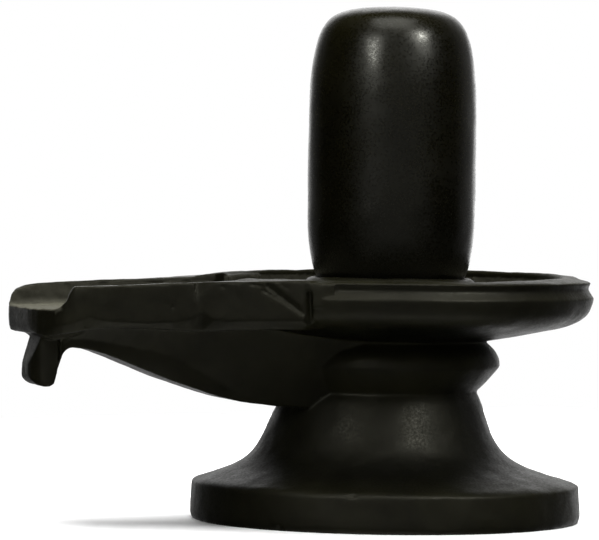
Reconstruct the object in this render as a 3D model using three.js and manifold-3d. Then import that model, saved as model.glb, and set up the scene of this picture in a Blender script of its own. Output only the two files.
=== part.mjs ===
// A carved stone lingam on its yoni pedestal, in two stones: the polished shaft, and the block that
// holds it, which is basin, spout, ring, neck and foot in one piece.
// Millimetres, +Z up. The origin is the centre of the foot's underside, and the spout points to -X.

import * as THREE from 'three';
import { mergeVertices } from 'three/addons/utils/BufferGeometryUtils.js';
import Module from 'manifold-3d';

// ---- driving dimensions -------------------------------------------------------------------------
// Round profiles are [radius, height]; side views are [distance from the basin's axis, height].

const FOOT_RADIUS = 57.2;
const FOOT_HEIGHT = 10.4;
const FOOT_EDGE = 1;                 // bevel round the underside
const FOOT_UPRIGHT = 4;              // the foot's side draws in a little above this height
const FOOT_TOP_RADIUS = 56.6;
const FLARE = [[50, 13], [42.2, 15.7], [36.6, 19.4], [33.6, 24.2]];
const NECK_RADIUS = 31;
const NECK_HEIGHT = 31;              // height of the neck's middle above the ground
const NECK_OFFSET = -2.4;            // the neck was carved a little nearer to the spout
const NECK_THROAT = [29, 34.8];
const UNDERCUT = [27.6, 37.8];       // the groove under the ring
const RING_RADIUS = 33.2;
const RING_HEIGHT = 45.6;            // the ring's sharp edge
const RING_UNDERSIDE = [31.8, 43];
const RING_TOP = [32.4, 49.6];
const RING_HEAD = 28.6;              // radius where the ring meets the basin's underside

const PLATE_X = 0.8;                 // axis of the basin and the shaft
const PLATE_RADIUS = 59.6;           // the bead, the widest moulding
const PLATE_UNDERSIDE = 52.6;
const PLATE_CORE = 60.5;             // the neck's stone reaches up to here inside the basin's floor
const UNDERSIDE = [[40, 54.8], [52.2, 57.4], [57.8, 60.2]];
const BEAD_HEIGHT = 65.4;
const BEAD_TOP = [59.6, 66.5];
const COVE = [[58.1, 67.8], [58, 68.7]];
const LIP = [[58.6, 69.9], [58.2, 70.4]];
const RIM_HEIGHT = 72.1;             // highest point of the rim, at its inner edge
const RIM_CUT_HEIGHT = 71.1;         // the rim's top is trimmed by a plane this high at the axis
const RIM_CUT_TILT = 1.15;           // degrees, falling towards -Y
const RIM_CUT_ROLL = 0.68;           // degrees, falling towards the spout
const RIM_EDGE = 0.8;
const BASIN_RADIUS = 50.2;
const BASIN_FLOOR = 63.5;
const BASIN_FILLET = 4.5;
const BASIN_SIDE_SLOPE = 1.2;
const BASIN_MARGIN = 0.5;            // how far below the floor the basin's room is cut from the spout's block

const SOCKET_RADIUS = 22.1;
const SOCKET_FLOOR = 68;
const COLLAR_HEIGHT = 71;
const COLLAR_FOOT_RADIUS = 29.5;
const COLLAR_WAIST = [26.1, 64.5];
const COLLAR_SHOULDER = [[25.1, 69.4], [23.5, 70.8]];

const SHAFT_RADIUS = 24.7;
const SHAFT_FOOT_RADIUS = 21.8;
const TAPER_BEND = [24.5, 78];       // bend of the curve in which the shaft draws in to its foot
const TAPER_TOP = 90;
const CROWN_START = 113;             // the shaft is straight up to here
const CROWN = [[23.7, 133], [22.35, 140], [20.4, 144.45], [17.2, 147.6], [12.5, 149.25], [5.9, 149.85]];
const TOTAL_HEIGHT = 150;

const SHOULDER_ANGLE = 50.5;          // degrees off the spout's axis where the round rim ends
const SHOULDER_END = 65.3;           // where the shoulder meets the spout's straight side
const SHOULDER_ROOT = [25, 14];      // how far the block reaches inwards from the rim's end
const SPOUT_LENGTH = 109.9;          // from the basin's axis to the end of the spout
const SPOUT_HALF_WIDTH = 27.8;
const SPOUT_TOP = 70.4;
const SPOUT_BOTTOM = 56;
const SPOUT_TIP_DEEPER = 1.2;        // how much lower the underside is at the end
const SPOUT_DROOP = 1.8;             // degrees, of the walls' top and the channel's floor
const SPOUT_BEVEL = 1.6;
const RIGHT_CORNER = [[102.8, 24.6], [106.9, 19], [109.4, 11]];  // [distance, half width] on the -Y side
const RIGHT_CORNER_START = 96.5;
const LEFT_CORNER = [[106.8, 26.2], [108.8, 23.6], [109.9, 18]];  // and on the +Y side
const LEFT_CORNER_START = 103;
const RIGHT_WALL_END = [[97, 71], [100.6, 67.8], [102.2, 63.9], [104.6, 62]];
const LEFT_WALL_END = [[104.2, 71], [107.4, 67], [108.8, 62.5]];
const WALL_END_DEPTH = 62;           // the channel's floor stays whole below this height

const CHANNEL_HALF_WIDTH = 23.2;
const CHANNEL_FLOOR = 63.7;
const CHANNEL_FILLET = 3;
const CHANNEL_START = 32;
const CHANNEL_SPREAD = 1;            // the walls lean out by this much at the channel's open top
const OPEN_HEIGHT = 15;              // room cut away above the channel and the basin's floor
const PAST_END = 5;                  // how far cuts run past the spout's end

const KEEL_ROOT_HEIGHT = 32.5;
const KEEL_NECK = [39, 34];
const KEEL = [[51.5, 35.6], [66.7, 40.4], [87.9, 48.6]];
const KEEL_ARCH = [[94.2, 50.8], [97.9, 49.4]];
const HOOK_BEND = [100.2, 46.9];
const HOOK = [[101.3, 39.9], [102.5, 39.1], [105.8, 39.5], [107.2, 41.6], [105.1, 57.6]];
const KEEL_TOP = 57.6;
const KEEL_TIP_HALF_WIDTH = 8.5;     // at the hook
const KEEL_ROOT_HALF_WIDTH = 27;     // at the neck's axis, so that its sides run into the neck
const KEEL_BEVEL = 1.4;

const CORBEL = [
  [92, 55.4], [96, 54.1], [100, 53], [103.4, 52.5], [105.8, 53.1], [108.2, 54.6], [108.2, 58],
  [92, 58],
];
const CORBEL_HALF_WIDTH = 13.5;
const CORBEL_BEVEL = 1.2;

const NOTCH_WIDTH = 3.2;             // upright V notches that part the round rim from the shoulders
const NOTCH_DEPTH = 2.1;
const NOTCH_OUTSIDE = 0.6;           // how far the notch's cutter stands outside the bead
const NOTCH_TOP = 68.4;
const NOTCH_BOTTOM = 58.6;

const ROUND_SEGMENTS = 60;
const SHAFT_SEGMENTS = 48;
const CURVE_STEPS = 2;               // steps from point to point of a spline
const FILLET_STEPS = 3;
const MERGE_DISTANCE = 1e-4;

const STONE = { roughness: 0.42, metalness: 0 };
const SHAFT_COLOUR = '#1c1d19';
const PEDESTAL_COLOUR = '#2b2c27';

// ---- helpers ------------------------------------------------------------------------------------

const wasm = await Module();
wasm.setup();

function solid(geometry) {
  geometry.deleteAttribute('normal');
  geometry.deleteAttribute('uv');
  const merged = mergeVertices(geometry, MERGE_DISTANCE);
  return new wasm.Manifold(new wasm.Mesh({
    numProp: 3,
    vertProperties: Float32Array.from(merged.attributes.position.array),
    triVerts: Uint32Array.from(merged.index.array),
  }));
}

function namedMesh(name, body, colour) {
  const mesh = body.getMesh();
  const geometry = new THREE.BufferGeometry();
  geometry.setAttribute('position', new THREE.BufferAttribute(mesh.vertProperties, mesh.numProp));
  geometry.setIndex(new THREE.BufferAttribute(mesh.triVerts, 1));
  geometry.computeVertexNormals();
  const material = new THREE.MeshStandardMaterial({ color: colour, ...STONE });
  const named = new THREE.Mesh(geometry, material);
  named.name = name;
  return named;
}

function points(pairs) {
  return pairs.map(([x, y]) => new THREE.Vector2(x, y));
}

// Draws straight lines on from a path's last point through the given ones.
function linesThrough(path, pairs) {
  pairs.forEach(([x, y]) => path.lineTo(x, y));
}

// Turns a closed profile of [radius, height] about the Z axis.
function turned(profile, segments = ROUND_SEGMENTS) {
  const geometry = new THREE.LatheGeometry(profile.getPoints(CURVE_STEPS), segments);
  geometry.rotateX(Math.PI / 2);
  return geometry;
}

// Extrudes a side view of [distance, height] across the spout, from one y to another.
function across(shape, from, to) {
  const geometry = new THREE.ExtrudeGeometry(shape, { depth: to - from, bevelEnabled: false });
  geometry.rotateX(Math.PI / 2);
  geometry.rotateZ(Math.PI);
  geometry.translate(PLATE_X, from, 0);
  return geometry;
}

function moveVertices(geometry, move) {
  const position = geometry.attributes.position;
  const vertex = new THREE.Vector3();
  for (let i = 0; i < position.count; i += 1) {
    vertex.fromBufferAttribute(position, i);
    move(vertex);
    position.setXYZ(i, vertex.x, vertex.y, vertex.z);
  }
  return geometry;
}

// ---- foot, flare, neck and ring -----------------------------------------------------------------

function pedestalStem() {
  const profile = new THREE.Path();
  profile.moveTo(0, 0);
  profile.lineTo(FOOT_RADIUS - FOOT_EDGE, 0);
  profile.lineTo(FOOT_RADIUS, FOOT_EDGE);
  profile.lineTo(FOOT_RADIUS, FOOT_UPRIGHT);
  profile.lineTo(FOOT_TOP_RADIUS, FOOT_HEIGHT);
  profile.splineThru(points([...FLARE, [NECK_RADIUS, NECK_HEIGHT]]));
  profile.quadraticCurveTo(...NECK_THROAT, ...UNDERCUT);
  profile.lineTo(...RING_UNDERSIDE);
  profile.lineTo(RING_RADIUS, RING_HEIGHT);
  profile.quadraticCurveTo(...RING_TOP, RING_HEAD, PLATE_UNDERSIDE);
  profile.lineTo(UNDERCUT[0], PLATE_CORE);
  profile.lineTo(0, PLATE_CORE);

  // The neck's axis swings towards the spout between the flare and the ring.
  const swing = (height) => {
    const along = (height - FOOT_HEIGHT) / (RING_HEIGHT - FOOT_HEIGHT);
    return along > 0 && along < 1 ? NECK_OFFSET * Math.sin(Math.PI * along) : 0;
  };
  return solid(moveVertices(turned(profile), (v) => { v.x += swing(v.z); }));
}

// ---- basin plate, with its rim mouldings and the collar round the shaft ----------------------------

function basinPlate() {
  const profile = new THREE.Path();
  profile.moveTo(0, PLATE_UNDERSIDE);
  profile.lineTo(UNDERCUT[0], PLATE_UNDERSIDE);
  profile.splineThru(points([...UNDERSIDE, [PLATE_RADIUS, BEAD_HEIGHT]]));
  profile.quadraticCurveTo(...BEAD_TOP, ...COVE[0]);
  linesThrough(profile, [COVE[1], ...LIP]);
  profile.lineTo(BASIN_RADIUS + RIM_EDGE, RIM_HEIGHT);
  profile.lineTo(BASIN_RADIUS, RIM_HEIGHT - RIM_EDGE);
  profile.quadraticCurveTo(
    BASIN_RADIUS - BASIN_SIDE_SLOPE, BASIN_FLOOR, BASIN_RADIUS - BASIN_FILLET, BASIN_FLOOR,
  );
  profile.lineTo(COLLAR_FOOT_RADIUS, BASIN_FLOOR);
  profile.quadraticCurveTo(...COLLAR_WAIST, ...COLLAR_SHOULDER[0]);
  profile.lineTo(...COLLAR_SHOULDER[1]);
  profile.lineTo(SOCKET_RADIUS, COLLAR_HEIGHT);
  profile.lineTo(SOCKET_RADIUS, SOCKET_FLOOR);
  profile.lineTo(0, SOCKET_FLOOR);
  return solid(turned(profile)).translate([PLATE_X, 0, 0]);
}

// Stone that is trimmed off the rim's top, outside the basin's floor.
function rimCut() {
  const size = 3 * PLATE_RADIUS;
  const inside = BASIN_RADIUS - BASIN_FILLET;
  const slab = new THREE.BoxGeometry(size, size, OPEN_HEIGHT);
  slab.translate(0, 0, OPEN_HEIGHT / 2);
  slab.rotateX(THREE.MathUtils.degToRad(RIM_CUT_TILT));
  slab.rotateY(-THREE.MathUtils.degToRad(RIM_CUT_ROLL));
  slab.translate(PLATE_X, 0, RIM_CUT_HEIGHT);
  const core = new THREE.CylinderGeometry(inside, inside, 3 * OPEN_HEIGHT, ROUND_SEGMENTS);
  core.rotateX(Math.PI / 2);
  core.translate(PLATE_X, 0, RIM_CUT_HEIGHT);
  return solid(slab).subtract(solid(core));
}

// The room inside the rim, which the spout's block leaves free.
function basinHollow() {
  const radius = BASIN_RADIUS - BASIN_SIDE_SLOPE;
  const geometry = new THREE.CylinderGeometry(radius, radius, OPEN_HEIGHT, ROUND_SEGMENTS);
  geometry.rotateX(Math.PI / 2);
  geometry.translate(PLATE_X, 0, BASIN_FLOOR - BASIN_MARGIN + OPEN_HEIGHT / 2);
  return solid(geometry);
}

// ---- spout --------------------------------------------------------------------------------------

function spoutBlock() {
  const shoulder = THREE.MathUtils.degToRad(SHOULDER_ANGLE);
  const rootDistance = Math.cos(shoulder) * PLATE_RADIUS;
  const rootWidth = Math.sin(shoulder) * PLATE_RADIUS;
  const shape = new THREE.Shape();
  shape.moveTo(rootDistance - SHOULDER_ROOT[0], -rootWidth + SHOULDER_ROOT[1]);
  shape.lineTo(rootDistance, -rootWidth);
  shape.lineTo(SHOULDER_END, -SPOUT_HALF_WIDTH);
  shape.lineTo(LEFT_CORNER_START, -SPOUT_HALF_WIDTH);
  linesThrough(shape, LEFT_CORNER.map(([distance, width]) => [distance, -width]));
  linesThrough(shape, RIGHT_CORNER.toReversed());
  shape.lineTo(RIGHT_CORNER_START, SPOUT_HALF_WIDTH);
  shape.lineTo(SHOULDER_END, SPOUT_HALF_WIDTH);
  shape.lineTo(rootDistance, rootWidth);
  shape.lineTo(rootDistance - SHOULDER_ROOT[0], rootWidth - SHOULDER_ROOT[1]);

  const height = SPOUT_TOP - SPOUT_BOTTOM;
  const geometry = new THREE.ExtrudeGeometry(shape, {
    depth: height - 2 * SPOUT_BEVEL,
    bevelEnabled: true,
    bevelThickness: SPOUT_BEVEL,
    bevelSize: SPOUT_BEVEL,
    bevelOffset: -SPOUT_BEVEL,
    bevelSegments: 1,
  });
  geometry.translate(0, 0, SPOUT_BEVEL);
  geometry.rotateZ(Math.PI);
  const slope = Math.tan(THREE.MathUtils.degToRad(SPOUT_DROOP));
  moveVertices(geometry, (v) => {
    const droop = slope * Math.max(0, -v.x - rootDistance);
    const deeper = SPOUT_TIP_DEEPER * Math.max(0, (-v.x - SHOULDER_END) / (SPOUT_LENGTH - SHOULDER_END));
    v.x += PLATE_X;
    v.z += SPOUT_BOTTOM - (v.z > height / 2 ? droop : deeper);
  });
  return solid(geometry);
}

// The channel's hollow, from the basin out past the end, and as high as the room above it.
function channelHollow() {
  const half = CHANNEL_HALF_WIDTH;
  const section = new THREE.Shape();
  section.moveTo(-half - CHANNEL_SPREAD, OPEN_HEIGHT);
  section.lineTo(-half, CHANNEL_FILLET);
  section.quadraticCurveTo(-half, 0, -half + CHANNEL_FILLET, 0);
  section.lineTo(half - CHANNEL_FILLET, 0);
  section.quadraticCurveTo(half, 0, half, CHANNEL_FILLET);
  section.lineTo(half + CHANNEL_SPREAD, OPEN_HEIGHT);
  const geometry = new THREE.ExtrudeGeometry(section, {
    depth: SPOUT_LENGTH + PAST_END - CHANNEL_START, bevelEnabled: false, curveSegments: FILLET_STEPS,
  });
  geometry.rotateX(Math.PI / 2);
  geometry.rotateZ(-Math.PI / 2);
  geometry.translate(-CHANNEL_START, 0, 0);
  geometry.rotateY(-THREE.MathUtils.degToRad(SPOUT_DROOP));
  const hinge = Math.cos(THREE.MathUtils.degToRad(SHOULDER_ANGLE)) * PLATE_RADIUS;
  const hingeDrop = hinge * Math.sin(THREE.MathUtils.degToRad(SPOUT_DROOP));
  geometry.translate(PLATE_X, 0, CHANNEL_FLOOR + hingeDrop);
  return solid(geometry);
}

// What is cut off above the channel's floor, so that each wall's end leans back in its own way.
function wallEndCut(line, from, to) {
  const past = SPOUT_LENGTH + PAST_END;
  const top = SPOUT_TOP + OPEN_HEIGHT;
  const shape = new THREE.Shape(points([
    ...line, [past, WALL_END_DEPTH], [past, top], [line[0][0], top],
  ]));
  return solid(across(shape, from, to));
}

// ---- keel, hook and corbel under the spout --------------------------------------------------------

function keel() {
  const side = new THREE.Shape();
  side.moveTo(0, KEEL_TOP);
  side.lineTo(0, KEEL_ROOT_HEIGHT);
  side.lineTo(...KEEL_NECK);
  side.splineThru(points(KEEL));
  side.quadraticCurveTo(...KEEL_ARCH[0], ...KEEL_ARCH[1]);
  side.quadraticCurveTo(...HOOK_BEND, ...HOOK[0]);
  linesThrough(side, HOOK.slice(1));

  // The extrusion is one unit of half width deep on either side, bevels included.
  const bevel = KEEL_BEVEL / KEEL_TIP_HALF_WIDTH;
  const geometry = new THREE.ExtrudeGeometry(side, {
    depth: 2 - 2 * bevel,
    bevelEnabled: true,
    bevelThickness: bevel,
    bevelSize: KEEL_BEVEL,
    bevelOffset: -KEEL_BEVEL,
    bevelSegments: 1,
    curveSegments: CURVE_STEPS,
  });
  geometry.translate(0, 0, bevel - 1);
  geometry.rotateX(Math.PI / 2);
  geometry.rotateZ(Math.PI);

  // One unit of width becomes the half width that the keel has at each distance from the axis.
  const slope = (KEEL_ROOT_HALF_WIDTH - KEEL_TIP_HALF_WIDTH) / SPOUT_LENGTH;
  const halfWidth = (x) => KEEL_TIP_HALF_WIDTH + slope * (SPOUT_LENGTH + x);
  moveVertices(geometry, (v) => {
    v.y *= halfWidth(v.x);
    v.x += PLATE_X;
  });
  return solid(geometry);
}

// The swelling under the spout's tip, from which the hook hangs.
function corbel() {
  const depth = 2 * (CORBEL_HALF_WIDTH - CORBEL_BEVEL);
  const geometry = new THREE.ExtrudeGeometry(new THREE.Shape(points(CORBEL)), {
    depth,
    bevelEnabled: true,
    bevelThickness: CORBEL_BEVEL,
    bevelSize: CORBEL_BEVEL,
    bevelOffset: -CORBEL_BEVEL,
    bevelSegments: 1,
  });
  geometry.translate(0, 0, -depth / 2);
  geometry.rotateX(Math.PI / 2);
  geometry.rotateZ(Math.PI);
  geometry.translate(PLATE_X, 0, 0);
  return solid(geometry);
}

// ---- V notches between the round rim and the shoulders ------------------------------------------

function notch(side) {
  const wedge = new THREE.Shape(points([
    [0, -NOTCH_WIDTH / 2], [0, NOTCH_WIDTH / 2], [-NOTCH_DEPTH, 0],
  ]));
  const geometry = new THREE.ExtrudeGeometry(wedge, {
    depth: NOTCH_TOP - NOTCH_BOTTOM, bevelEnabled: false,
  });
  geometry.translate(PLATE_RADIUS + NOTCH_OUTSIDE, 0, NOTCH_BOTTOM);
  geometry.rotateZ(Math.PI - side * THREE.MathUtils.degToRad(SHOULDER_ANGLE));
  geometry.translate(PLATE_X, 0, 0);
  return solid(geometry);
}

// ---- shaft --------------------------------------------------------------------------------------

function shaft() {
  const profile = new THREE.Path();
  profile.moveTo(0, SOCKET_FLOOR);
  profile.lineTo(SHAFT_FOOT_RADIUS, SOCKET_FLOOR);
  profile.lineTo(SHAFT_FOOT_RADIUS, COLLAR_HEIGHT);
  profile.quadraticCurveTo(...TAPER_BEND, SHAFT_RADIUS, TAPER_TOP);
  profile.lineTo(SHAFT_RADIUS, CROWN_START);
  profile.splineThru(points([...CROWN, [0, TOTAL_HEIGHT]]));
  return solid(turned(profile, SHAFT_SEGMENTS)).translate([PLATE_X, 0, 0]);
}

// ---- the part -----------------------------------------------------------------------------------

const hollow = channelHollow();
const block = spoutBlock()
  .subtract(wallEndCut(RIGHT_WALL_END, -2 * SPOUT_HALF_WIDTH, 0))
  .subtract(wallEndCut(LEFT_WALL_END, 0, 2 * SPOUT_HALF_WIDTH))
  .subtract(basinHollow());
const pedestal = pedestalStem()
  .add(block)
  .add(keel())
  .add(corbel())
  .subtract(hollow)
  .add(basinPlate().subtract(rimCut()).subtract(hollow))
  .subtract(notch(1))
  .subtract(notch(-1));

const group = new THREE.Group();
group.add(namedMesh('lingam', shaft(), SHAFT_COLOUR));
group.add(namedMesh('yoni_pedestal', pedestal, PEDESTAL_COLOUR));

export default group;
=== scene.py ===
import math

import bmesh
import bpy
from mathutils import Matrix, Vector


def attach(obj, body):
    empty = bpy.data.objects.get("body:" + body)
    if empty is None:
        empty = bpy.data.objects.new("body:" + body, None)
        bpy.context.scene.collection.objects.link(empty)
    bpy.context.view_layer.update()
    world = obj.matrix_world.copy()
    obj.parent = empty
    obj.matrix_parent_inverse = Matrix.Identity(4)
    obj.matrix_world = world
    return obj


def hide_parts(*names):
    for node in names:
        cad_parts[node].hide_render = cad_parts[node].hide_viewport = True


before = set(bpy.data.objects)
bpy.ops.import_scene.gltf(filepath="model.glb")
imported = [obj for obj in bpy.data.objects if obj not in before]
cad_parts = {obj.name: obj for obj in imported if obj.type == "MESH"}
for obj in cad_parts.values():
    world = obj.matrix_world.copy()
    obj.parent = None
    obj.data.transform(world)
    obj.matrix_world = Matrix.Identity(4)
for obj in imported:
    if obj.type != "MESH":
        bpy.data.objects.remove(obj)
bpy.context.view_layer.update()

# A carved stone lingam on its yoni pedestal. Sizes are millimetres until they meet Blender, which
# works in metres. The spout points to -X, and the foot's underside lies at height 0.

MM = 0.001

# ---- sizes of the real thing, as in the part's source --------------------------------------------

FOOT_RADIUS = 57.2
FOOT_HEIGHT = 10.4
NECK_RADIUS = 31
NECK_HEIGHT = 31
NECK_OFFSET = -2.4                    # how far the neck swings towards the spout
GROOVE_RADIUS = 27.6
GROOVE_HEIGHT = 37.8
RING_RADIUS = 33.2
RING_HEIGHT = 45.6

PLATE_X = 0.8
PLATE_RADIUS = 59.5
PLATE_UNDERSIDE = 52.6
BEAD_HEIGHT = 65.4
RIM_HEIGHT = 71.4
RIM_TILT = (0.9, 0.68)                # degrees about X and Y
LIP_HEIGHT = 70.1
BASIN_RADIUS = 50.2
BASIN_FLOOR = 63.5
LIP_RADIUS = 58.4

SOCKET_RADIUS = 22.1
SOCKET_FLOOR = 68
COLLAR_HEIGHT = 71

SHAFT_RADIUS = 24.6
SHAFT_FOOT_RADIUS = 21.8
TOTAL_HEIGHT = 149.9
CROWN_START = 113

SPOUT_LENGTH = 109.7
SPOUT_TOP = 70.7
SHOULDER_ANGLE = 50.5
SPOUT_SLOPE = math.tan(math.radians(1.8))
WALL_TOP_SLOPE = math.tan(math.radians(2.4))
SHOULDER_T = 37.9                     # distances T run from the basin's axis along the spout
SHOULDER_HALF_WIDTH = 46
SHOULDER_END = 65.3

CHANNEL_HALF_WIDTH = 23.2
CHANNEL_FLARE = 1.7                   # what each side gains up to the top of its tool
CHANNEL_FLOOR = 63.7

KEEL_HALF_WIDTHS = (9.5, 27.0)        # at the spout's tip and at the basin's axis
KEEL_SWELL_T = 46                     # where its lower edge starts to swell

TURNED_SEGMENTS = 192
VOXEL = 0.4
MOST_TRIANGLES = 190_000


# ---- working as by hand -----------------------------------------------------------------------------

def only(*objects):
    """Selects these objects alone. The first is the active one."""
    bpy.ops.object.select_all(action="DESELECT")
    for obj in objects:
        obj.select_set(True)
    bpy.context.view_layer.objects.active = objects[0]


def primitive(add, name, **settings):
    """Adds a primitive under a name, with nothing else selected."""
    bpy.ops.object.select_all(action="DESELECT")
    add(**settings)
    obj = bpy.context.active_object
    obj.name = name
    return obj


def settle(obj):
    """Puts the object's place, turn and size into its mesh."""
    only(obj)
    bpy.ops.object.transform_apply(location=True, rotation=True, scale=True)
    return obj


def modified(obj, kind, **settings):
    """Adds a modifier and applies it."""
    only(obj)
    modifier = obj.modifiers.new(kind.lower(), kind)
    for key, value in settings.items():
        setattr(modifier, key, value)
    bpy.ops.object.modifier_apply(modifier=modifier.name)
    return obj


def cut(obj, *tools, keep=False):
    """Takes the tools away from the object, and deletes them unless they are kept."""
    for tool in tools:
        modified(obj, "BOOLEAN", operation="DIFFERENCE", object=tool, solver="MANIFOLD")
        if not keep:
            bpy.data.objects.remove(tool)
    return obj


def turned(name, rings, segments=TURNED_SEGMENTS, x=0.0):
    """A closed round body: a disc, extruded and resized ring by ring.
    A ring is (radius, height) or (radius, height, sideways)."""
    radius, height = rings[0][:2]
    obj = primitive(
        bpy.ops.mesh.primitive_circle_add, name, vertices=segments, radius=radius * MM,
        fill_type="NGON", location=(x * MM, 0, height * MM),
    )
    settle(obj)
    bpy.ops.object.mode_set(mode="EDIT")
    bpy.ops.mesh.select_all(action="SELECT")
    centre = x
    for ring in rings[1:]:
        rise = ring[1] - height
        new_centre = x + (ring[2] if len(ring) > 2 else 0.0)
        bpy.ops.mesh.extrude_region_move(
            TRANSFORM_OT_translate={"value": ((new_centre - centre) * MM, 0, rise * MM)}
        )
        grow = ring[0] / radius
        bpy.ops.transform.resize(
            value=(grow, grow, 1), center_override=(new_centre * MM, 0, ring[1] * MM)
        )
        radius, height = ring[:2]
        centre = new_centre
    bpy.ops.mesh.select_all(action="SELECT")
    bpy.ops.mesh.normals_make_consistent(inside=False)
    bpy.ops.object.mode_set(mode="OBJECT")
    return obj


def lofted(name, sections, chamfer=0.0, draft=1.0, rises=()):
    """A closed bar towards -X: a rectangle, extruded and resized section by section.
    A section is (distance, near side, far side, bottom, top). The lower corners may be chamfered,
    and with a draft the lower edge is narrower than the upper one. Rises are the chamfer's
    heights, where they differ from section to section."""
    distance, near, far, bottom, top = sections[0]
    obj = primitive(
        bpy.ops.mesh.primitive_plane_add, name, size=1, rotation=(0, math.radians(90), 0),
        location=((PLATE_X - distance) * MM, (near + far) / 2 * MM, (top + bottom) / 2 * MM),
    )
    obj.scale = ((top - bottom) * MM, (far - near) * MM, 1)
    settle(obj)
    bpy.ops.object.mode_set(mode="EDIT")
    bpy.ops.mesh.select_mode(type="VERT")
    bpy.ops.mesh.select_all(action="DESELECT")
    edit = bmesh.from_edit_mesh(obj.data)
    for vert in edit.verts:
        vert.select_set(vert.co.z < (bottom + 0.1) * MM)
    bmesh.update_edit_mesh(obj.data)
    if draft != 1.0:
        bpy.ops.transform.resize(
            value=(1, draft, 1),
            center_override=((PLATE_X - distance) * MM, (near + far) / 2 * MM, bottom * MM),
        )
    if chamfer:
        bpy.ops.mesh.bevel(offset=chamfer * MM, affect="VERTICES", clamp_overlap=False)
    bpy.ops.mesh.select_all(action="SELECT")
    for new in sections[1:]:
        step = (
            distance - new[0],
            (new[1] + new[2] - near - far) / 2,
            (new[3] + new[4] - bottom - top) / 2,
        )
        bpy.ops.mesh.extrude_region_move(
            TRANSFORM_OT_translate={"value": tuple(part * MM for part in step)}
        )
        centre = (PLATE_X - new[0], (new[1] + new[2]) / 2, (new[3] + new[4]) / 2)
        bpy.ops.transform.resize(
            value=(1, (new[2] - new[1]) / (far - near), (new[4] - new[3]) / (top - bottom)),
            center_override=tuple(part * MM for part in centre),
        )
        distance, near, far, bottom, top = new
    for (distance, near, far, bottom, top), rise in zip(sections, rises):
        edit = bmesh.from_edit_mesh(obj.data)
        at = (PLATE_X - distance) * MM
        ring = [v for v in edit.verts if abs(v.co.x - at) < 0.01 * MM]
        shoulders = [v for v in ring if (bottom + 0.3) * MM < v.co.z < (top - 0.3) * MM]
        bpy.ops.mesh.select_all(action="DESELECT")
        for vert in shoulders:
            vert.select_set(True)
        change = (bottom + rise) * MM - shoulders[0].co.z
        bmesh.update_edit_mesh(obj.data)
        bpy.ops.transform.translate(value=(0, 0, change))
    bpy.ops.mesh.select_all(action="SELECT")
    bpy.ops.mesh.normals_make_consistent(inside=False)
    bpy.ops.object.mode_set(mode="OBJECT")
    return obj


def bevelled(obj, test, width, segments=2):
    """Bevels the edges whose two ends, in millimetres, pass the test."""
    only(obj)
    bpy.ops.object.mode_set(mode="EDIT")
    bpy.ops.mesh.select_mode(type="EDGE")
    bpy.ops.mesh.select_all(action="DESELECT")
    edit = bmesh.from_edit_mesh(obj.data)
    for edge in edit.edges:
        a, b = (v.co / MM for v in edge.verts)
        edge.select_set(bool(test(a, b)))
    bmesh.update_edit_mesh(obj.data)
    bpy.ops.mesh.bevel(offset=width * MM, segments=segments, affect="EDGES", clamp_overlap=True)
    bpy.ops.mesh.select_mode(type="VERT")
    bpy.ops.object.mode_set(mode="OBJECT")
    return obj


def slab(point, normal, size=14.0, length=None):
    """A block whose one face passes through the point; taking it away planes the stone there."""
    outward = Vector(normal).normalized()
    middle = Vector(point) + outward * size / 2
    turn = outward.to_track_quat("Z", "Y").to_euler()
    block = primitive(
        bpy.ops.mesh.primitive_cube_add, "slab", size=1, location=middle * MM, rotation=turn
    )
    block.scale = ((length or size) * MM, (length or size) * MM, size * MM)
    return settle(block)


def plane_through(a, b, c):
    """The upright of the plane through three points, on the side away from the basin's axis."""
    normal = (Vector(b) - Vector(a)).cross(Vector(c) - Vector(a)).normalized()
    outside = Vector(a) - Vector((PLATE_X, 0, a[2]))
    return normal if normal.dot(outside) > 0 else -normal


def chisel_cut(start, end, normal, width, depth):
    """A groove with one broad flank above the line from start to end, and a steep one below it."""
    a, b, out = Vector(start), Vector(end), Vector(normal).normalized()
    along = (b - a).normalized()
    out = (out - along * out.dot(along)).normalized()
    over = out.cross(along)
    over = over if over.z > 0 else -over
    slope = math.asin(depth / width)
    broad = over * math.cos(slope) + out * math.sin(slope)
    steep = broad.cross(along)
    steep = steep if steep.dot(out) > 0 else -steep
    block = primitive(bpy.ops.mesh.primitive_cube_add, "chisel_cut", size=1)
    block.scale = ((b - a).length * MM, 1.5 * width * MM, 1.5 * width * MM)
    settle(block)
    middle = (a + b) / 2 - out * depth + (broad + steep) * 0.75 * width
    axes = Matrix((along, broad, along.cross(broad))).transposed()
    block.matrix_world = Matrix.Translation(middle * MM) @ axes.to_4x4()
    return settle(block)


def pebble(point, radius, scale=(1, 1, 1), turn=(0, 0, 0)):
    """A rough ball that bites a chip or a pit out of the stone."""
    ball = primitive(
        bpy.ops.mesh.primitive_ico_sphere_add, "pebble", subdivisions=2, radius=radius * MM,
        location=Vector(point) * MM, rotation=turn,
    )
    ball.scale = scale
    return settle(ball)


def smooth_curve(points, steps=6):
    """A rounded line through the points, with its ends kept."""
    pts = [Vector(p) for p in points]
    ends = [2 * pts[0] - pts[1]] + pts + [2 * pts[-1] - pts[-2]]
    line = []
    for before, a, b, after in zip(ends, ends[1:], ends[2:], ends[3:]):
        for i in range(steps):
            t = i / steps
            line.append(tuple(0.5 * (
                2 * a + (b - before) * t
                + (2 * before - 5 * a + 4 * b - after) * t ** 2
                + (3 * a - before - 3 * b + after) * t ** 3
            )))
    line.append(tuple(pts[-1]))
    return line


# ---- pedestal ---------------------------------------------------------------------------------------

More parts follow.
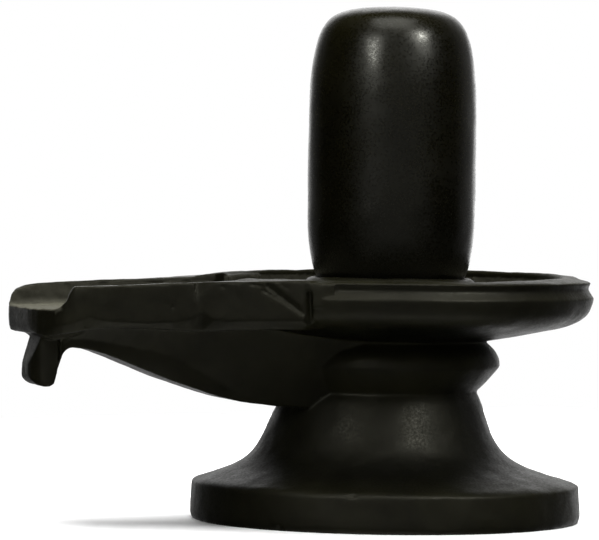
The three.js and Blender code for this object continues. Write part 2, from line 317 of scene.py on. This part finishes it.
def stem():
    """Foot, flare, neck, groove and ring, turned in one. The neck swings towards the spout."""
    flare = smooth_curve([
        (FOOT_RADIUS - 0.9, FOOT_HEIGHT + 0.35),
        (54.5, FOOT_HEIGHT + 1.3),
        (50, FOOT_HEIGHT + 2.6),
        (42.6, FOOT_HEIGHT + 5.3),
        (37.2, FOOT_HEIGHT + 9),
        (33.9, FOOT_HEIGHT + 13.8),
        (NECK_RADIUS, NECK_HEIGHT),
        (29.2, GROOVE_HEIGHT - 2.6),
        (GROOVE_RADIUS + 0.2, GROOVE_HEIGHT - 0.3),
    ], 5)
    ring = smooth_curve([
        (GROOVE_RADIUS + 0.2, GROOVE_HEIGHT + 0.3),
        (30.2, GROOVE_HEIGHT + 3),
        (RING_RADIUS - 0.3, RING_HEIGHT - 0.8),
    ], 4) + smooth_curve([
        (RING_RADIUS - 0.1, RING_HEIGHT),
        (RING_RADIUS - 0.5, RING_HEIGHT + 2.2),
        (31.6, RING_HEIGHT + 4.2),
        (29.6, RING_HEIGHT + 6.2),
        (28.4, PLATE_UNDERSIDE + 0.2),
    ], 4)

    def swing(height):
        along = (height - FOOT_HEIGHT) / (RING_HEIGHT - FOOT_HEIGHT)
        return NECK_OFFSET * math.sin(math.pi * along ** 0.8) if 0 < along < 1 else 0.0

    foot = [
        (FOOT_RADIUS - 1.2, 0),
        (FOOT_RADIUS - 0.4, 0.5),
        (FOOT_RADIUS - 0.1, 1.6),
        (FOOT_RADIUS - 0.1, 4),
        (FOOT_RADIUS - 0.5, FOOT_HEIGHT - 0.5),
        (FOOT_RADIUS - 0.6, FOOT_HEIGHT - 0.05),
    ]
    profile = foot + flare + ring + [(GROOVE_RADIUS, BASIN_FLOOR - 3)]
    return turned("stem", [(r, z, swing(z)) for r, z in profile])


def basin():
    """The round plate with its mouldings and rim, the basin, and the collar round the socket."""
    underside = smooth_curve([
        (GROOVE_RADIUS, PLATE_UNDERSIDE),
        (40, 54.8),
        (50, 56.9),
        (55, 58.6),
        (57.9, 60.8),
        (59.1, 63.2),
        (PLATE_RADIUS, BEAD_HEIGHT - 0.3),
    ], 5)
    mouldings = [
        (PLATE_RADIUS, BEAD_HEIGHT + 0.3),
        (PLATE_RADIUS - 0.3, BEAD_HEIGHT + 0.6),
        (LIP_RADIUS, BEAD_HEIGHT + 1.9),
        (LIP_RADIUS - 0.4, BEAD_HEIGHT + 2.5),
        (LIP_RADIUS - 0.45, LIP_HEIGHT - 1.4),
        (LIP_RADIUS, LIP_HEIGHT - 0.5),
        (LIP_RADIUS + 0.1, LIP_HEIGHT - 0.1),
        (LIP_RADIUS - 0.3, LIP_HEIGHT + 0.2),
    ]
    rim = smooth_curve([
        (LIP_RADIUS - 1.2, LIP_HEIGHT + 0.4),
        (54.4, RIM_HEIGHT - 0.35),
        (BASIN_RADIUS + 1.5, RIM_HEIGHT),
        (BASIN_RADIUS + 0.4, RIM_HEIGHT - 0.2),
        (BASIN_RADIUS - 0.1, RIM_HEIGHT - 1.1),
        (BASIN_RADIUS - 0.4, RIM_HEIGHT - 3),
        (BASIN_RADIUS - 1.4, BASIN_FLOOR + 2),
        (BASIN_RADIUS - 3.5, BASIN_FLOOR + 0.3),
        (BASIN_RADIUS - 5.5, BASIN_FLOOR),
    ], 4)
    collar = smooth_curve([
        (31.5, BASIN_FLOOR),
        (29.3, BASIN_FLOOR + 0.7),
        (27.3, BASIN_FLOOR + 3),
        (25.7, COLLAR_HEIGHT - 2.2),
        (24, COLLAR_HEIGHT - 0.6),
        (SOCKET_RADIUS + 0.3, COLLAR_HEIGHT),
    ], 4)
    socket = [(SOCKET_RADIUS, COLLAR_HEIGHT - 0.3), (SOCKET_RADIUS, SOCKET_FLOOR)]
    profile = underside + mouldings + rim + collar + socket
    return turned("basin", profile, x=PLATE_X)


def spout_top(distance):
    """The height of the walls' tops, which fall a little towards the tip."""
    return SPOUT_TOP - WALL_TOP_SLOPE * max(0.0, distance - SHOULDER_T)


def spout():
    """The spout's block, whose tip is rounded more at the near corner than at the far one."""
    plan = [
        # distance, near and far half widths, bottom, height of the lower bevel
        (14, 32, 32, 57, 2.6),
        (SHOULDER_T, SHOULDER_HALF_WIDTH, SHOULDER_HALF_WIDTH, 56.8, 2.6),
        (56, 34.1, 34.1, 56.1, 2.8),
        (61, 30.95, 30.95, 55.9, 3.2),
        (SHOULDER_END - 1.6, 29.15, 29.15, 55.8, 5.2),
        (SHOULDER_END - 0.2, 28.25, 28.25, 55.8, 4.9),
        (SHOULDER_END + 1.4, 27.8, 27.8, 55.8, 3.4),
        (72, 27.8, 27.8, 56, 2.2),
        (80, 27.9, 27.9, 56.3, 1.6),
        (90, 27.8, 27.9, 56.4, 1.8),
        (94, 27.8, 27.8, 56.2, 2.6),
        (96, 27.7, 27.8, 56, 3.8),
        (97.6, 27.4, 27.8, 55.7, 3.3),
        (100, 26.6, 27.7, 55.2, 3),
        (103, 24.4, 27.6, 54.6, 2.8),
        (105, 22.2, 27.3, 54.1, 2.6),
        (106.8, 19, 26.2, 53.9, 2.4),
        (108.5, 15, 24.2, 54.4, 2.2),
        (109.3, 11, 21.6, 55.5, 2),
        (SPOUT_LENGTH, 7, 18, 57.4, 1.6),
    ]
    sections = [(t, -near, far, bottom, spout_top(t)) for t, near, far, bottom, _ in plan]
    return lofted("spout", sections, chamfer=2.4, rises=[row[4] for row in plan])


def channel_floor(distance):
    return CHANNEL_FLOOR - SPOUT_SLOPE * (distance - SHOULDER_T)


def channel_tool():
    """What the channel is cut with, from inside the basin to past the spout's end."""
    half, clear_above = CHANNEL_HALF_WIDTH + CHANNEL_FLARE, 82
    sections = [
        (t, -half, half, channel_floor(t), clear_above)
        for t in (33, SHOULDER_END, 90, SPOUT_LENGTH + 6)
    ]
    tool = lofted("channel", sections, draft=CHANNEL_HALF_WIDTH / half)

    def floor_corner(a, b):
        along = abs(a.x - b.x) > 5
        return along and max(a.z, b.z) < 70 and min(abs(a.y), abs(b.y)) > 20

    return bevelled(tool, floor_corner, width=1.4, segments=3)


def end_tools():
    """What the ends of the channel's walls are cut with. The near wall's end is cut further back."""
    near = [
        # distance, height that is left
        (96.5, 70.6), (99, 69.2), (100.6, 67.8), (101.6, 65.6), (102.2, 63.9), (104, 62.3),
        (106, 61.7), (118, 61.7),
    ]
    far = [
        (86, 69.2), (93, 68.4), (100, 67.9), (103.7, 67.3), (106.5, 66.2), (108, 64.6),
        (108.8, 62.4), (118, 62.2),
    ]
    past_side, clear_above = 40, 85
    return [
        lofted("near_end", [(t, -past_side, 0, z, clear_above) for t, z in near]),
        lofted("far_end", [(t, 0, past_side, z, clear_above) for t, z in far]),
    ]


def keel():
    """The web under the spout, drawn in towards its lower edge, with the hook at its end. Near the
    hook the lower edge swells out upright."""
    tip, root = KEEL_HALF_WIDTHS
    inside_web, inside_edge = 58.0, 57.0  # how high they reach into the spout's block

    def half(t):
        return tip + (root - tip) * max(0.0, 1 - t / SPOUT_LENGTH)

    def edge_half(t):
        return half(t) * (0.72 + 0.2 * min(1.0, (t - KEEL_SWELL_T) / 24))

    line = smooth_curve([
        (0, 32.5), (28, 33.4), (40, 34.1), (51.5, 35.7), (66.7, 40.4), (87.9, 48.5), (96, 50.3),
        (98.6, 49.9), (100.2, 48), (101, 45),
    ], 4)
    web = lofted(
        "keel", [(t, -half(t) - 3, half(t) + 3, z, inside_web) for t, z in line], draft=0.62
    )
    edge = lofted("keel_edge", [
        (t, -edge_half(t), edge_half(t), z, inside_edge) for t, z in line if t > KEEL_SWELL_T
    ])
    hook = lofted("hook", [
        (99.6, -8.4, 8.4, 48.2, 57), (100.6, -8.4, 8.4, 45.4, 57), (101.4, -8.4, 8.4, 41.8, 57),
        (102, -8.3, 8.4, 39.8, 56.5), (103.4, -8.1, 8.4, 39.1, 56), (104.8, -7.7, 8.4, 39.1, 55),
        (106, -7, 8.3, 39.4, 52.4), (107, -5.8, 8.2, 40, 49.4), (107.8, -4, 8.1, 40.8, 47),
        (108.3, -2, 7.9, 41.8, 45.4),
    ])
    corbel = lofted("corbel", [
        (92, -13, 13, 55.4, 57), (96, -13.5, 13.5, 54, 57), (100, -13.5, 13.5, 52.9, 57),
        (103.4, -12.5, 12.5, 52.4, 57), (105.8, -11, 11, 53.2, 57), (107.8, -9, 9, 54.6, 57),
    ], chamfer=0.8)
    return [web, edge, hook, corbel]


def basin_tool():
    """Keeps the spout's block out of the basin."""
    height, below_floor = 20, 0.5
    return primitive(
        bpy.ops.mesh.primitive_cylinder_add, "basin_room", vertices=TURNED_SEGMENTS,
        radius=(BASIN_RADIUS - 1) * MM, depth=height * MM,
        location=(PLATE_X * MM, 0, (BASIN_FLOOR - below_floor + height / 2) * MM),
    )


def tilt_rim(plate):
    """Tips the rim's inner edge, which the mason left a little out of level."""
    only(plate)
    bpy.ops.object.mode_set(mode="EDIT")
    bpy.ops.mesh.select_mode(type="VERT")
    bpy.ops.mesh.select_all(action="DESELECT")
    edit = bmesh.from_edit_mesh(plate.data)
    for vert in edit.verts:
        radius = math.hypot(vert.co.x - PLATE_X * MM, vert.co.y) / MM
        on_top = vert.co.z > (RIM_HEIGHT - 1.3) * MM
        vert.select_set(on_top and BASIN_RADIUS - 0.5 < radius < BASIN_RADIUS + 4.4)
    bmesh.update_edit_mesh(plate.data)
    pivot = (PLATE_X * MM, 0, RIM_HEIGHT * MM)
    for axis, angle in zip("XY", RIM_TILT):
        turn = math.radians(-angle if axis == "X" else angle)
        bpy.ops.transform.rotate(value=turn, orient_axis=axis, center_override=pivot)
    bpy.ops.object.mode_set(mode="OBJECT")
    return plate


def rim_start(side):
    """The plain stretch of rim beside the shoulder, before its mouldings begin."""
    near = [
        (29.8, 48.8, 64.6, 69.2), (31.6, 49.6, 63.6, 69.8), (34.6, 48.3, 63.2, 70),
        (38.2, 46, 63, 70.2),
    ]
    return lofted("rim_start", [
        (t, *sorted((side * y, side * (y - 7))), low, high) for t, y, low, high in near
    ])


def notch_tool(side):
    """An upright V notch between the round rim and the shoulder."""
    across, inward, lean, middle_height = 1.9, 2.2, math.radians(7), 62.8
    turn = math.radians(SHOULDER_ANGLE)
    out = Vector((-math.cos(turn), side * math.sin(turn), 0))
    wedge = primitive(
        bpy.ops.mesh.primitive_cylinder_add, "notch", vertices=3, radius=MM, depth=10 * MM
    )
    wedge.scale = (across, inward, 1)
    settle(wedge)
    wedge.location = (Vector((PLATE_X, 0, middle_height)) + out * (PLATE_RADIUS - 0.35)) * MM
    wedge.rotation_euler = (lean, 0, math.atan2(-out.y, -out.x) - math.pi / 2)
    return settle(wedge)


def channel_corner(side):
    """Rounds off the upright corner where the channel opens into the basin."""
    return slab((-46.6, side * 23.4, 69.5), (0.537, -0.843 * side, 0), 9, 10)


def carving():
    """Facets, grooves, chips and pits that the mason's tools left, each at its own place."""
    shoulder = (-0.549, -0.836, 0)
    below_top = plane_through((-59.6, -31.2, 69.8), (-63.4, -28.9, 66), (-60.9, -30.1, 69.7))
    return [
        chisel_cut((-47.9, -38.9, 68.9), (-36.2, -46.6, 59.2), shoulder, 2.1, 0.8),
        chisel_cut((-48.6, -38.5, 67.6), (-41.2, -43.3, 62.9), shoulder, 1.3, 0.45),
        chisel_cut((-52.4, -36.0, 69.3), (-48.2, -38.7, 68.7), shoulder, 0.9, 0.45),
        chisel_cut((-43.8, -41.6, 69.3), (-41.6, -43.1, 67.9), shoulder, 0.6, 0.35),
        slab((-61.5, -30.1, 68), below_top, 6, 9),
        pebble((-60.6, -35.6, 68.6), 5, (0.9, 0.9, 0.5), (0.2, 0.1, 0.6)),
        pebble((-61.6, -33.6, 65), 3.4, (0.8, 0.8, 1.1)),
        pebble((-64.7, -29, 65.2), 1.3, (0.7, 0.7, 1.5)),
        pebble((-73.1, -28.3, 63.3), 1.1, (1.2, 0.6, 0.7)),
        pebble((-71.6, -28.4, 62.6), 0.9),
        pebble((-83.6, -28.4, 68.2), 0.9, (1.6, 0.6, 0.8)),
        pebble((-34.4, -49.2, 68.6), 1.5, (1.3, 0.8, 0.7), (0, 0, -0.6)),
        pebble((-33, -50, 68.1), 1.1, (1.2, 0.8, 0.8), (0, 0, -0.6)),
        slab((36.9, -43.3, 10), (0.62, -0.5, 0.6), 3, 3.4),
        pebble((38.6, -43.3, 8.6), 1.3, (0.8, 0.8, 1.3)),
        pebble((-26.6, -51.2, 11), 1.5, (2.2, 1, 0.9)),
        pebble((-2, -57.6, 11), 1.5, (2.4, 1, 0.9)),
        pebble((-43.3, -38.4, 0.4), 1.5, (1.3, 1, 1)),
        pebble((-21.2, -53.6, 0.3), 1.1),
        pebble((-6.5, -57.5, 0.4), 1),
        slab((-1, -56.75, 5), (0, -1, 0.04), 6, 30),
        pebble((31, 48.8, 10.6), 1.8, (1, 1.4, 1)),
        pebble((57.9, 6, 10.7), 1.6, (1, 1.8, 1)),
        pebble((8, 60.2, 65.2), 1.7, (2, 1, 0.8)),
    ]


def tooled(place):
    """How far the stone is left as the chisel cut it: inside the basin and the channel."""
    radius = math.hypot(place.x - PLATE_X, place.y)
    t = PLATE_X - place.x
    floor = channel_floor(t)
    in_basin = 29 < radius < BASIN_RADIUS + 0.5 and BASIN_FLOOR - 1 < place.z < LIP_HEIGHT + 0.3
    in_channel = 30 < t and abs(place.y) < CHANNEL_HALF_WIDTH + 0.5 and floor - 0.4 < place.z
    in_channel = in_channel and place.z < spout_top(t) - 0.7
    return 1.0 if in_basin or in_channel else 0.0


def mark_tooled(body):
    """Notes the unpolished stone twice: as a group for its relief, as an attribute for its finish."""
    group = body.vertex_groups.new(name="tooled")
    rough = [v.index for v in body.data.vertices if tooled(v.co / MM) > 0]
    group.add(rough, 1.0, "ADD")
    mark = body.data.attributes.new("unpolished", "FLOAT", "POINT")
    values = [0.0] * len(body.data.vertices)
    for index in rough:
        values[index] = 1.0
    mark.data.foreach_set("value", values)


def uneven(body, name, size, depth, group="", detail=2):
    """Raises and lowers the surface in lumps of about `size`, by up to half of `depth` each way."""
    lumps = bpy.data.textures.new(name, "CLOUDS")
    lumps.noise_scale = size * MM
    lumps.noise_depth = detail
    return modified(
        body, "DISPLACE", texture=lumps, texture_coords="LOCAL", strength=depth * MM,
        mid_level=0.5, vertex_group=group,
    )


def flat_underside(body):
    """Rubs the foot flat where it stands: what lies below `rubbed` is brought level with 0."""
    rubbed = 0.3
    only(body)
    bpy.ops.object.mode_set(mode="EDIT")
    bpy.ops.mesh.select_mode(type="VERT")
    bpy.ops.mesh.select_all(action="DESELECT")
    edit = bmesh.from_edit_mesh(body.data)
    for vert in edit.verts:
        vert.select_set(vert.co.z < rubbed * MM)
    bmesh.update_edit_mesh(body.data)
    bpy.ops.transform.resize(value=(1, 1, 0), center_override=(0, 0, 0))
    bpy.ops.object.mode_set(mode="OBJECT")
    return body


def pedestal():
    """The carved block: its rough bodies are cut, then fused, softened and worked all over."""
    block = cut(spout(), basin_tool(), *end_tools(), channel_tool())
    plate = cut(tilt_rim(basin()), channel_tool())
    rounds = [stem(), plate, block, rim_start(-1), rim_start(1)]
    tools = [notch_tool(-1), notch_tool(1), channel_corner(-1), channel_corner(1), *carving()]
    for piece in rounds:
        cut(piece, *tools, keep=True)
    for tool in tools:
        bpy.data.objects.remove(tool)
    only(*rounds, *keel())
    bpy.ops.object.join()
    body = bpy.context.active_object
    body.name = "carved_pedestal"
    modified(body, "REMESH", mode="VOXEL", voxel_size=VOXEL * MM, use_smooth_shade=True)
    modified(body, "SMOOTH", factor=0.5, iterations=3)
    mark_tooled(body)
    uneven(body, "hand_cut", size=14, depth=0.5)
    uneven(body, "rubbed", size=4, depth=0.16)
    uneven(body, "chiselled", size=2.2, depth=0.5, group="tooled")
    flat_underside(body)
    triangles = 2 * len(body.data.polygons)
    if triangles > MOST_TRIANGLES:
        modified(body, "DECIMATE", ratio=MOST_TRIANGLES / triangles, use_collapse_triangulate=True)
    only(body)
    bpy.ops.object.shade_smooth()
    return body


# ---- shaft ------------------------------------------------------------------------------------------

def shaft():
    """The lingam, which widens a little above its foot and ends in a round crown."""
    crown = TOTAL_HEIGHT - CROWN_START
    profile = [(SHAFT_FOOT_RADIUS - 0.4, SOCKET_FLOOR), (SHAFT_FOOT_RADIUS, SOCKET_FLOOR + 0.4)]
    profile += smooth_curve([
        (SHAFT_FOOT_RADIUS, COLLAR_HEIGHT),
        (22.6, 73.1),
        (23.4, 76.6),
        (24.1, 81.5),
        (24.5, 87.5),
        (SHAFT_RADIUS, 95),
        (SHAFT_RADIUS, CROWN_START),
        (0.993 * SHAFT_RADIUS, CROWN_START + 0.3 * crown),
        (0.965 * SHAFT_RADIUS, CROWN_START + 0.53 * crown),
        (0.908 * SHAFT_RADIUS, CROWN_START + 0.73 * crown),
        (0.826 * SHAFT_RADIUS, CROWN_START + 0.85 * crown),
        (0.70 * SHAFT_RADIUS, CROWN_START + 0.93 * crown),
        (0.506 * SHAFT_RADIUS, CROWN_START + 0.976 * crown),
        (0.24 * SHAFT_RADIUS, TOTAL_HEIGHT - 0.15),
        (0.02 * SHAFT_RADIUS, TOTAL_HEIGHT),
    ], 6)
    stone = turned("polished_shaft", profile, segments=256, x=PLATE_X)
    uneven(stone, "rubbed_shaft", size=11, depth=0.3)
    only(stone)
    bpy.ops.object.shade_smooth()
    return stone


# ---- materials --------------------------------------------------------------------------------------

class Finish:
    """A material and short ways to wire it."""

    def __init__(self, name):
        self.material = bpy.data.materials.new(name)
        self.material.use_nodes = True
        self.tree = self.material.node_tree
        self.shader = self.tree.nodes["Principled BSDF"]
        self.place = self.node("TexCoord").outputs["Object"]

    def node(self, kind, **settings):
        made = self.tree.nodes.new("ShaderNode" + kind)
        for key, value in settings.items():
            setattr(made, key, value)
        return made

    def wire(self, source, target):
        self.tree.links.new(source, target)

    def noise(self, size, detail=2.0, roughness=0.5, distortion=0.0, stretch=(1, 1, 1)):
        """A cloudy pattern whose lumps are about `size` millimetres across."""
        where = self.node("Mapping")
        where.inputs["Scale"].default_value = stretch
        self.wire(self.place, where.inputs["Vector"])
        made = self.node("TexNoise")
        made.inputs["Scale"].default_value = 1 / (size * MM)
        made.inputs["Detail"].default_value = detail
        made.inputs["Roughness"].default_value = roughness
        made.inputs["Distortion"].default_value = distortion
        self.wire(where.outputs["Vector"], made.inputs["Vector"])
        return made.outputs["Fac"]

    def ramp(self, value, low, high, start=0.0, end=1.0):
        made = self.node("MapRange")
        made.inputs["From Min"].default_value = low
        made.inputs["From Max"].default_value = high
        made.inputs["To Min"].default_value = start
        made.inputs["To Max"].default_value = end
        self.wire(value, made.inputs["Value"])
        return made.outputs["Result"]

    def sum(self, a, b, operation="ADD"):
        made = self.node("Math", operation=operation)
        self.wire(a, made.inputs[0])
        if isinstance(b, (int, float)):
            made.inputs[1].default_value = b
        else:
            self.wire(b, made.inputs[1])
        return made.outputs["Value"]

    def blend(self, amount, a, b):
        made = self.node("Mix", data_type="RGBA")
        self.wire(amount, made.inputs["Factor"])
        for socket, colour in zip(made.inputs[6:8], (a, b)):
            if isinstance(colour, tuple):
                socket.default_value = (*colour, 1)
            else:
                self.wire(colour, socket)
        return made.outputs[2]

    def bump(self, height, depth, before=None):
        made = self.node("Bump")
        made.inputs["Distance"].default_value = depth * MM
        self.wire(height, made.inputs["Height"])
        if before is not None:
            self.wire(before, made.inputs["Normal"])
        return made.outputs["Normal"]


def stone_finish(name, dark, light, roughness, gloss, sheen, chiselled=None):
    """Dark fine-grained stone. Where it is left unpolished it is paler, duller and rougher."""
    finish = Finish(name)
    shader = finish.shader.inputs
    clouds = finish.ramp(finish.noise(22, 4, 0.6, 0.4), 0.35, 0.68)
    grain = finish.ramp(finish.noise(0.9, 3, 0.65), 0.35, 0.7)
    colour = finish.blend(clouds, dark, light)
    colour = finish.blend(finish.sum(grain, 0.35, "MULTIPLY"), colour, light)
    rough = finish.sum(
        finish.ramp(finish.noise(9, 3, 0.6), 0.3, 0.7, roughness - 0.04, roughness + 0.04),
        finish.ramp(finish.noise(0.7, 2), 0.3, 0.7, -0.08, 0.08),
    )
    relief = finish.noise(0.6, 3, 0.6)
    if chiselled is not None:
        raw = finish.node("Attribute", attribute_name="unpolished").outputs["Fac"]
        patches = finish.ramp(finish.noise(5, 4, 0.65), 0.3, 0.7, 0.55, 1.0)
        raw = finish.sum(raw, patches, "MULTIPLY")
        colour = finish.blend(raw, colour, chiselled)
        rough = finish.sum(rough, finish.sum(raw, 0.35, "MULTIPLY"))
    shader["Specular IOR Level"].default_value = gloss
    shader["Specular Tint"].default_value = (*sheen, 1)
    finish.wire(colour, shader["Base Color"])
    finish.wire(rough, shader["Roughness"])
    finish.wire(finish.bump(relief, 0.012), shader["Normal"])
    return finish.material


# ---- light, floor and camera ------------------------------------------------------------------------

VIEW_TURN = 17                        # degrees about Z
CAMERA_REACH = 1.18                   # metres, as all sizes from here on
CAMERA_HEIGHT = 0.095
CAMERA_LENS = 242                     # millimetres, with a sensor 36 mm wide
SENSOR_WIDTH = 36
CAMERA_ROLL = 0.8                     # degrees
AIM_HEIGHT = 0.0726                   # what the camera looks at, to the left of the axis
AIM_LEFT = 0.0259
GLOWS = [
    # azimuth, elevation, edge and core of the glow in degrees, strength
    (180, 11, 36, 10, 1.9),
    (-155, 8, 62, 8, 0.4),
    (158, 8, 48, 5, 0.2),
    (-165, -16, 28, 6, 1.6),
    (0, 22, 65, 12, 0.6),
    (0, -80, 40, 18, 2.0),
]
LIGHT_DISTANCE = 1.2
LIGHT_AIM_HEIGHT = 0.08
SOFTBOXES = [
    # name, azimuth, elevation, size, power, and whether it makes reflections only (True) or
    # diffuse light only (False)
    ("overhead", 180, 80, (1.4, 1.4), 66, False),
    ("ceiling", 0, 74, (0.9, 0.7), 10, True),
    ("left_window", 31, 27, (0.16, 0.3), 6.7, True),
    ("right_window", -47, 38, (0.2, 0.2), 13.5, True),
]
TABLE_BACK = 0.52
TABLE_FRONT = 0.13
TABLE_WIDTH = 0.62
TABLE_WHITE = (0.86, 0.86, 0.86, 1)
TABLE_ROUGHNESS = 0.7


def direction(azimuth, elevation=0.0):
    """A way to look from the object: azimuth 0 is towards the camera, 90 to its left."""
    turn = math.radians(VIEW_TURN + azimuth)
    rise = math.radians(elevation)
    return Vector((
        -math.sin(turn) * math.cos(rise), -math.cos(turn) * math.cos(rise), math.sin(rise)
    ))


def softbox(name, azimuth, elevation, size, power, glossy):
    light = bpy.data.lights.new(name, "AREA")
    light.shape = "RECTANGLE"
    light.size, light.size_y = size
    light.energy = power
    obj = bpy.data.objects.new(name, light)
    bpy.context.scene.collection.objects.link(obj)
    aim = Vector((0, 0, LIGHT_AIM_HEIGHT))
    away = direction(azimuth, elevation)
    obj.location = aim + away * LIGHT_DISTANCE
    obj.rotation_euler = away.to_track_quat("Z", "Y").to_euler()
    obj.visible_camera = False
    obj.visible_glossy = glossy
    obj.visible_diffuse = not glossy


def surroundings():
    """White to the camera. All other rays meet the glows alone."""
    scene = bpy.context.scene
    world = bpy.data.worlds.new("studio")
    scene.world = world
    world.use_nodes = True
    tree = world.node_tree
    back = tree.nodes["Background"]
    coords = tree.nodes.new("ShaderNodeTexCoord")

    def glow(azimuth, elevation, edge, core, strength):
        """Light from one side, full within `core` degrees and gone at `edge` degrees."""
        facing = tree.nodes.new("ShaderNodeVectorMath")
        facing.operation = "DOT_PRODUCT"
        tree.links.new(coords.outputs["Generated"], facing.inputs[0])
        facing.inputs[1].default_value = direction(azimuth, elevation)
        falloff = tree.nodes.new("ShaderNodeMapRange")
        falloff.interpolation_type = "SMOOTHSTEP"
        falloff.inputs["From Min"].default_value = math.cos(math.radians(edge))
        falloff.inputs["From Max"].default_value = math.cos(math.radians(core))
        falloff.inputs["To Max"].default_value = strength
        tree.links.new(facing.outputs["Value"], falloff.inputs["Value"])
        return falloff.outputs["Result"]

    total = None
    for part in GLOWS:
        ray = glow(*part)
        if total is None:
            total = ray
            continue
        adder = tree.nodes.new("ShaderNodeMath")
        tree.links.new(total, adder.inputs[0])
        tree.links.new(ray, adder.inputs[1])
        total = adder.outputs["Value"]
    lighting = tree.nodes.new("ShaderNodeBackground")
    tree.links.new(total, lighting.inputs["Strength"])
    path = tree.nodes.new("ShaderNodeLightPath")
    choice = tree.nodes.new("ShaderNodeMixShader")
    tree.links.new(path.outputs["Is Camera Ray"], choice.inputs[0])
    tree.links.new(lighting.outputs[0], choice.inputs[1])
    tree.links.new(back.outputs[0], choice.inputs[2])
    back.inputs["Color"].default_value = (1, 1, 1, 1)
    tree.links.new(choice.outputs[0], tree.nodes["World Output"].inputs["Surface"])


def table_top():
    """The white floor, which mirror rays pass through, so it leaves the undersides dark."""
    table = primitive(
        bpy.ops.mesh.primitive_plane_add, "table_top", size=1, location=(0, 0, 0)
    )
    table.scale = (TABLE_WIDTH, TABLE_FRONT + TABLE_BACK, 1)
    settle(table)
    only(table)
    bpy.ops.object.mode_set(mode="EDIT")
    bpy.ops.mesh.select_all(action="SELECT")
    bpy.ops.transform.rotate(
        value=math.radians(-VIEW_TURN), orient_axis="Z", center_override=(0, 0, 0)
    )
    bpy.ops.transform.translate(value=direction(180) * (TABLE_BACK - TABLE_FRONT) / 2)
    bpy.ops.object.mode_set(mode="OBJECT")
    white = Finish("table_white")
    white.shader.inputs["Base Color"].default_value = TABLE_WHITE
    white.shader.inputs["Roughness"].default_value = TABLE_ROUGHNESS
    table.data.materials.append(white.material)
    table.visible_glossy = False


def camera():
    data = bpy.data.cameras.new("camera")
    data.lens = CAMERA_LENS
    data.sensor_width = SENSOR_WIDTH
    obj = bpy.data.objects.new("camera", data)
    bpy.context.scene.collection.objects.link(obj)
    yaw = math.radians(VIEW_TURN)
    place = direction(0) * CAMERA_REACH + Vector((0, 0, CAMERA_HEIGHT))
    right = Vector((math.cos(yaw), -math.sin(yaw), 0))
    target = Vector((0, 0, AIM_HEIGHT)) - right * AIM_LEFT
    look = (target - place).to_track_quat("-Z", "Y").to_matrix().to_4x4()
    roll = Matrix.Rotation(math.radians(CAMERA_ROLL), 4, "Z")
    obj.matrix_world = Matrix.Translation(place) @ look @ roll
    bpy.context.scene.camera = obj


# ---- the part ---------------------------------------------------------------------------------------

bpy.context.scene.view_settings.view_transform = "Standard"
surroundings()
for box in SOFTBOXES:
    softbox(*box)
table_top()
camera()

carved = pedestal()
carved.data.materials.clear()
carved.data.materials.append(
    stone_finish(
        "carved_stone", dark=(0.0024, 0.0022, 0.0006), light=(0.0062, 0.0059, 0.0022),
        roughness=0.5, gloss=0.125, sheen=(1, 0.98, 0.8), chiselled=(0.05, 0.0485, 0.036),
    )
)
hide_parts("yoni_pedestal")
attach(carved, "root")

lingam = shaft()
lingam.data.materials.clear()
lingam.data.materials.append(
    stone_finish(
        "polished_stone", dark=(0.0022, 0.0019, 0.0004), light=(0.005, 0.0045, 0.0014),
        roughness=0.3, gloss=0.2, sheen=(1, 1, 0.9),
    )
)
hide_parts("lingam")
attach(lingam, "root")
